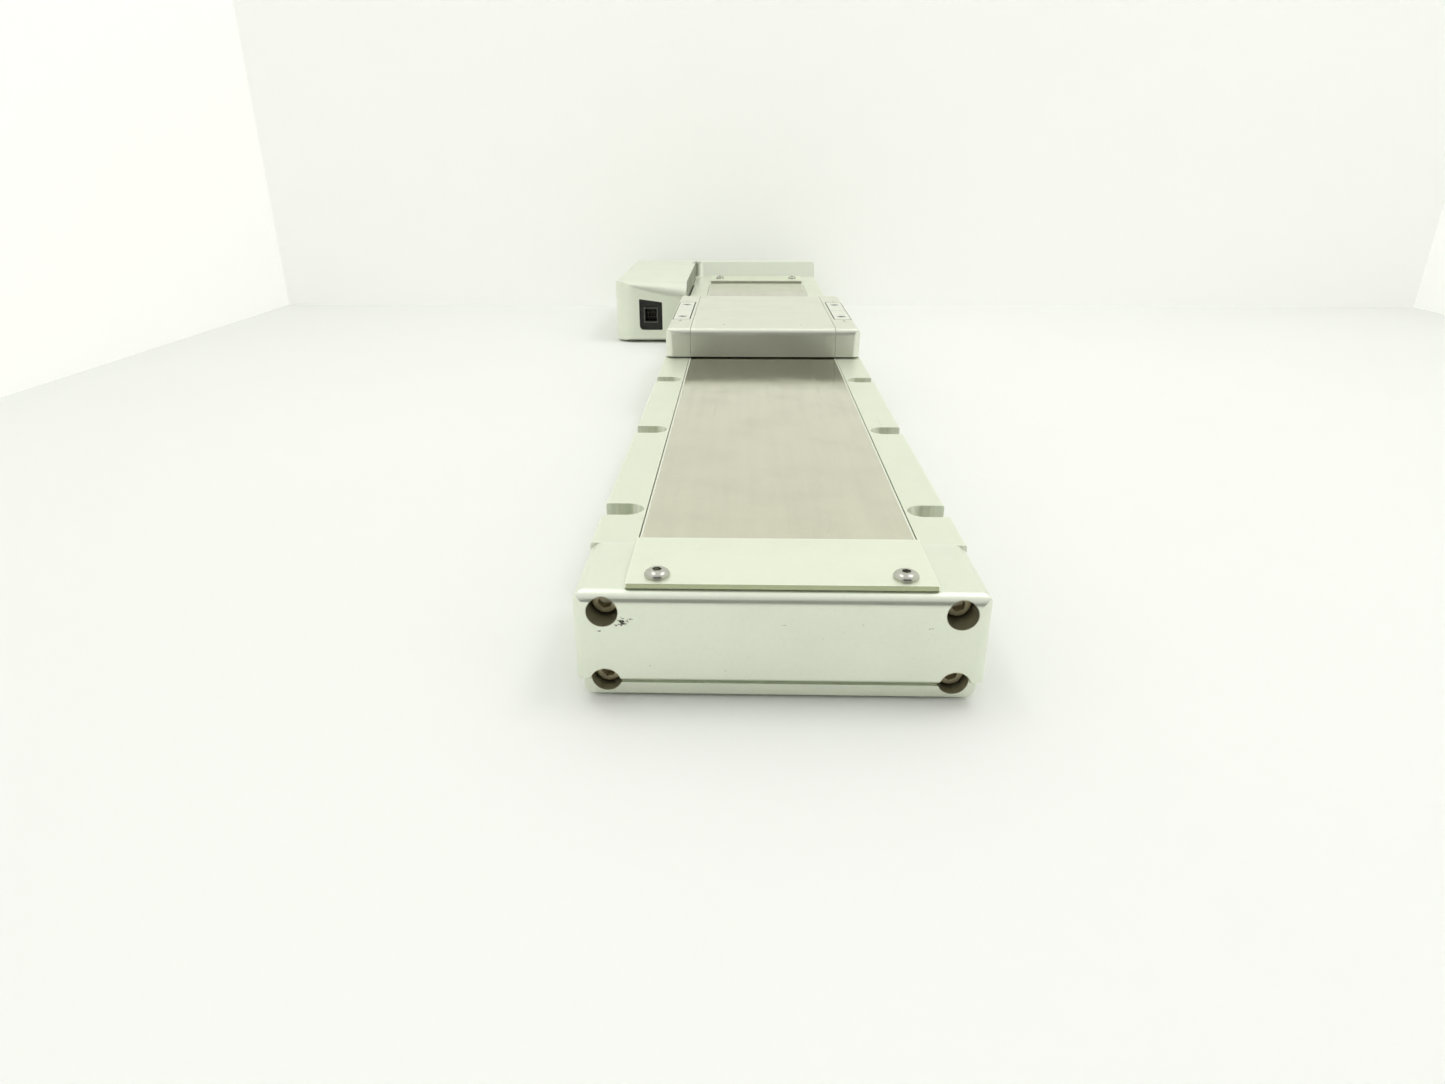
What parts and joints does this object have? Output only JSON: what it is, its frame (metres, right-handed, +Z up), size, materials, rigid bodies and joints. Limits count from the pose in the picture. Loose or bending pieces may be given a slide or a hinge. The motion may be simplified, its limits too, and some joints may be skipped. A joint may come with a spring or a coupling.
{
  "type": "motorised linear slide",
  "caption": "Low, flat motorised linear slide: aluminium rail with a steel dust strip, a ball-screw-driven slider with tapped pads, and a folded-back side motor under a cast cover.",
  "frame": {"origin": "on the underside of the base rail, at the middle of its length and width", "axes": "+Y along the rail towards the drive end, +Z up out of the slider's top, +X to the right seen from the front end cap, so the motor hood is on the -X side"},
  "size_m": [0.1842, 0.747, 0.053],
  "materials": {
    "rail_aluminium": "clear-anodised, satin",
    "cast_silver": "silver paint on die-cast aluminium, satin",
    "bright_plate": "satin, bare",
    "strip_steel": "brushed along its length",
    "guide_plastic": "matt, pale",
    "slider_plastic": "matt, moulded, pale grey",
    "pad_aluminium": "machined",
    "dark_steel": "blackened",
    "bright_steel": "ground",
    "stainless_screw": "turned",
    "cast_grey": "as cast",
    "black_plastic": "matt",
    "motor_black": "satin black",
    "contact_brass": "plated",
    "belt_rubber": "matt",
    "stop_rubber": "matt",
    "end_cap_green": "matt",
    "roller_grey": "smooth"
  },
  "bodies": {
    "base": {"base_rail": "rail_aluminium", "guide_rail_left": "bright_steel", "guide_rail_right": "bright_steel", "guide_rail_screws": "dark_steel", "strip_guide_left": "guide_plastic", "strip_guide_right": "guide_plastic", "front_end_cap": "cast_silver", "front_cap_screws": "dark_steel", "front_bearing": "bright_steel", "strip_clamp_front": "bright_plate", "strip_clamp_rear": "bright_plate", "clamp_screws": "stainless_screw", "bearing_housing": "cast_grey", "housing_screws": "dark_steel", "rear_bearings": "bright_steel", "drive_cover": "cast_silver", "drive_base_plate": "rail_aluminium", "base_plate_screws": "dark_steel", "connector_inlet": "black_plastic", "connector_pins": "contact_brass", "motor_bracket": "cast_grey", "motor_body": "motor_black", "motor_encoder": "black_plastic", "motor_screws": "dark_steel", "timing_belt": "belt_rubber", "bumper_front": "stop_rubber", "bumper_rear": "stop_rubber", "dust_strip_front": "strip_steel", "dust_strip_rear": "strip_steel"},
    "carriage": {"carriage_table": "rail_aluminium", "guide_block_front_left": "bright_steel", "guide_block_front_right": "bright_steel", "guide_block_rear_left": "bright_steel", "guide_block_rear_right": "bright_steel", "guide_block_end_caps": "end_cap_green", "block_screws": "dark_steel", "ball_nut": "bright_steel", "nut_bracket": "cast_grey", "nut_screws": "dark_steel", "mounting_pad_left": "pad_aluminium", "mounting_pad_right": "pad_aluminium", "pad_screws": "dark_steel", "slider_cover": "slider_plastic", "slider_side_cover_left": "slider_plastic", "slider_side_cover_right": "slider_plastic", "side_cover_screws": "dark_steel", "roller_pins": "bright_steel", "dust_strip_loop": "strip_steel"},
    "screw": {"ball_screw": "bright_steel", "lock_nut": "dark_steel", "driven_pulley": "cast_grey"},
    "motor_rotor": {"motor_shaft": "bright_steel", "drive_pulley": "cast_grey"},
    "press_roller_front": {"press_roller_front": "roller_grey"},
    "press_roller_rear": {"press_roller_rear": "roller_grey"},
    "lift_roller_front": {"lift_roller_front": "roller_grey"},
    "lift_roller_rear": {"lift_roller_rear": "roller_grey"}
  },
  "joints": [
    {"name": "carriage_slide", "type": "slide", "parent": "base", "child": "carriage", "axis": [0, 1, 0], "range_m": [-0.2815, 0.2185], "deforming": ["dust_strip_front", "dust_strip_rear"]},
    {"name": "screw_spin", "type": "hinge", "parent": "base", "child": "screw", "pos_m": [0, 0, 0.0175], "axis": [0, 1, 0], "range_deg": [-3940, 5070]},
    {"name": "motor_spin", "type": "hinge", "parent": "base", "child": "motor_rotor", "pos_m": [-0.096, 0.34, 0.0235], "axis": [0, 1, 0], "range_deg": [-3940, 5070]},
    {"name": "press_roller_front_spin", "type": "hinge", "parent": "carriage", "child": "press_roller_front", "pos_m": [0, -0.0205, 0.0383], "axis": [1, 0, 0], "range_deg": [-4180, 5380]},
    {"name": "press_roller_rear_spin", "type": "hinge", "parent": "carriage", "child": "press_roller_rear", "pos_m": [0, 0.1055, 0.0383], "axis": [1, 0, 0], "range_deg": [-4180, 5380]},
    {"name": "lift_roller_front_spin", "type": "hinge", "parent": "carriage", "child": "lift_roller_front", "pos_m": [0, 0.003, 0.03855], "axis": [1, 0, 0], "range_deg": [-6725, 5220]},
    {"name": "lift_roller_rear_spin", "type": "hinge", "parent": "carriage", "child": "lift_roller_rear", "pos_m": [0, 0.082, 0.03855], "axis": [1, 0, 0], "range_deg": [-6725, 5220]}
  ],
  "couplings": [
    {"joint": "screw_spin", "follows": "carriage_slide", "rad_per_m": -314.16},
    {"joint": "motor_spin", "follows": "carriage_slide", "rad_per_m": -314.16},
    {"joint": "press_roller_front_spin", "follows": "carriage_slide", "rad_per_m": -333.33},
    {"joint": "press_roller_rear_spin", "follows": "carriage_slide", "rad_per_m": -333.33},
    {"joint": "lift_roller_front_spin", "follows": "carriage_slide", "rad_per_m": 416.67},
    {"joint": "lift_roller_rear_spin", "follows": "carriage_slide", "rad_per_m": 416.67}
  ]
}
